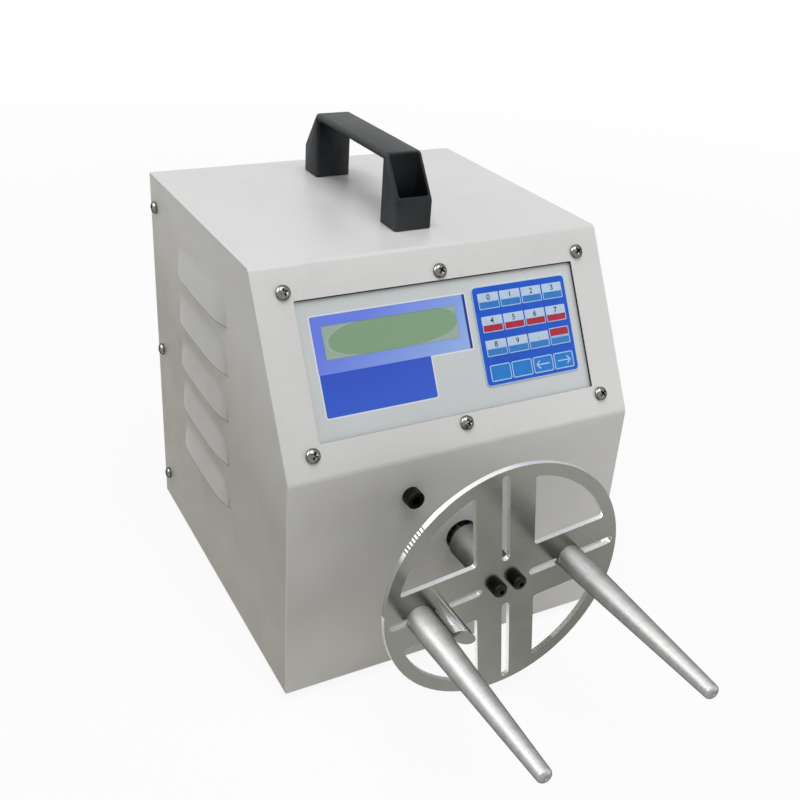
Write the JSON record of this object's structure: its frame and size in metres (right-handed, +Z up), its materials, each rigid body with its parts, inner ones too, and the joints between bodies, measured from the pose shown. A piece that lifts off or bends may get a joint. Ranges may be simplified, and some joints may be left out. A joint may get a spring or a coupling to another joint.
{
  "type": "wire coil winding machine",
  "caption": "Bench coil winder: off-white sheet case with sloping keypad panel, carry handle, and a slotted winding disc with tapered arms on a belt-driven spindle.",
  "frame": {"origin": "middle of the whole machine's outline, on the bench under its feet", "axes": "+Z up, +X to the operator's right, -Y towards the operator, so the spindle lies along Y"},
  "size_m": [0.181, 0.324, 0.2296],
  "materials": {
    "off_white_paint": "satin off-white powder paint, slightly uneven",
    "zinc_sheet": "zinc-plated sheet",
    "pale_overlay": "printed polyester sheet in pale grey",
    "blue_film": "printed blue membrane keypad film",
    "green_glass": "yellow-green display glass with a pale backlight",
    "circuit_board": "green circuit board",
    "black_steel": "blackened steel",
    "cast_grey": "grey coated cast aluminium",
    "bright_steel": "ground bright steel",
    "satin_aluminium": "fine satin, nearly mirror-bright",
    "turned_aluminium": "turned, clear anodised",
    "nickel": "nickel-plated steel",
    "black_plastic": "moulded black nylon with worn bright edges",
    "red_plastic": "moulded red plastic",
    "rubber": "moulded black rubber"
  },
  "bodies": {
    "case": {"base_plate": "zinc_sheet", "bearing_front": "bright_steel", "bearing_housing": "cast_grey", "bearing_rear": "bright_steel", "carry_handle": "black_plastic", "control_board": "circuit_board", "display_frame": "black_steel", "display_glass": "green_glass", "drive_belt": "rubber", "flange_bolt_left": "black_steel", "flange_bolt_right": "black_steel", "foot_front_left": "rubber", "foot_front_right": "rubber", "foot_rear_left": "rubber", "foot_rear_right": "rubber", "front_cover": "off_white_paint", "handle_screw_front": "nickel", "handle_screw_rear": "nickel", "keypad_film": "blue_film", "mains_inlet": "black_plastic", "motor": "cast_grey", "motor_bracket": "zinc_sheet", "panel_plate": "zinc_sheet", "panel_screw_lower_left": "nickel", "panel_screw_lower_middle": "nickel", "panel_screw_lower_right": "nickel", "panel_screw_upper_left": "nickel", "panel_screw_upper_middle": "nickel", "panel_screw_upper_right": "nickel", "pedal_socket": "nickel", "power_supply": "zinc_sheet", "printed_overlay": "pale_overlay", "rear_panel": "off_white_paint", "side_panel_left": "off_white_paint", "side_panel_right": "off_white_paint", "side_screw_left_high": "nickel", "side_screw_left_low": "nickel", "side_screw_left_middle": "nickel", "side_screw_right_high": "nickel", "side_screw_right_low": "nickel", "side_screw_right_middle": "nickel", "switch_frame": "black_plastic"},
    "spindle_disc": {"spindle": "bright_steel", "spindle_pulley": "satin_aluminium", "hub": "satin_aluminium", "winding_disc": "satin_aluminium", "centre_screw_left": "black_steel", "centre_screw_right": "black_steel"},
    "left_arm_set": {"left_arm": "turned_aluminium", "left_arm_washer": "bright_steel", "left_arm_nut": "bright_steel"},
    "right_arm_set": {"right_arm": "turned_aluminium", "right_arm_washer": "bright_steel", "right_arm_nut": "bright_steel"},
    "wire_pin_set": {"wire_pin": "turned_aluminium", "wire_pin_nut": "bright_steel"},
    "motor_rotor": {"motor_shaft": "bright_steel", "motor_pulley": "satin_aluminium"},
    "rocker": {"switch_rocker": "red_plastic"},
    "drawer": {"fuse_drawer": "black_plastic"}
  },
  "joints": [
    {"name": "spindle_spin", "type": "hinge", "parent": "case", "child": "spindle_disc", "pos_m": [0, -0.06805, 0.0701], "axis": [0, 1, 0], "continuous": true},
    {"name": "motor_spin", "type": "hinge", "parent": "case", "child": "motor_rotor", "pos_m": [0.047, 0.01875, 0.045], "axis": [0, 1, 0], "continuous": true},
    {"name": "left_arm_slide", "type": "slide", "parent": "spindle_disc", "child": "left_arm_set", "axis": [-0.9928, 0, -0.1201], "range_m": [0, 0.012]},
    {"name": "right_arm_slide", "type": "slide", "parent": "spindle_disc", "child": "right_arm_set", "axis": [0.9928, 0, 0.1201], "range_m": [-0.0185, 0.0215]},
    {"name": "wire_pin_slide", "type": "slide", "parent": "spindle_disc", "child": "wire_pin_set", "axis": [0.9928, 0, 0.1201], "range_m": [0, 0.0175]},
    {"name": "rocker_tilt", "type": "hinge", "parent": "case", "child": "rocker", "pos_m": [0, 0.15675, 0.041], "axis": [1, 0, 0], "range_deg": [-12, 0]},
    {"name": "fuse_drawer_slide", "type": "slide", "parent": "case", "child": "drawer", "axis": [0, 1, 0], "range_m": [0, 0.016]}
  ],
  "couplings": [
    {"joint": "motor_spin", "follows": "spindle_spin", "ratio": 1.9091}
  ]
}
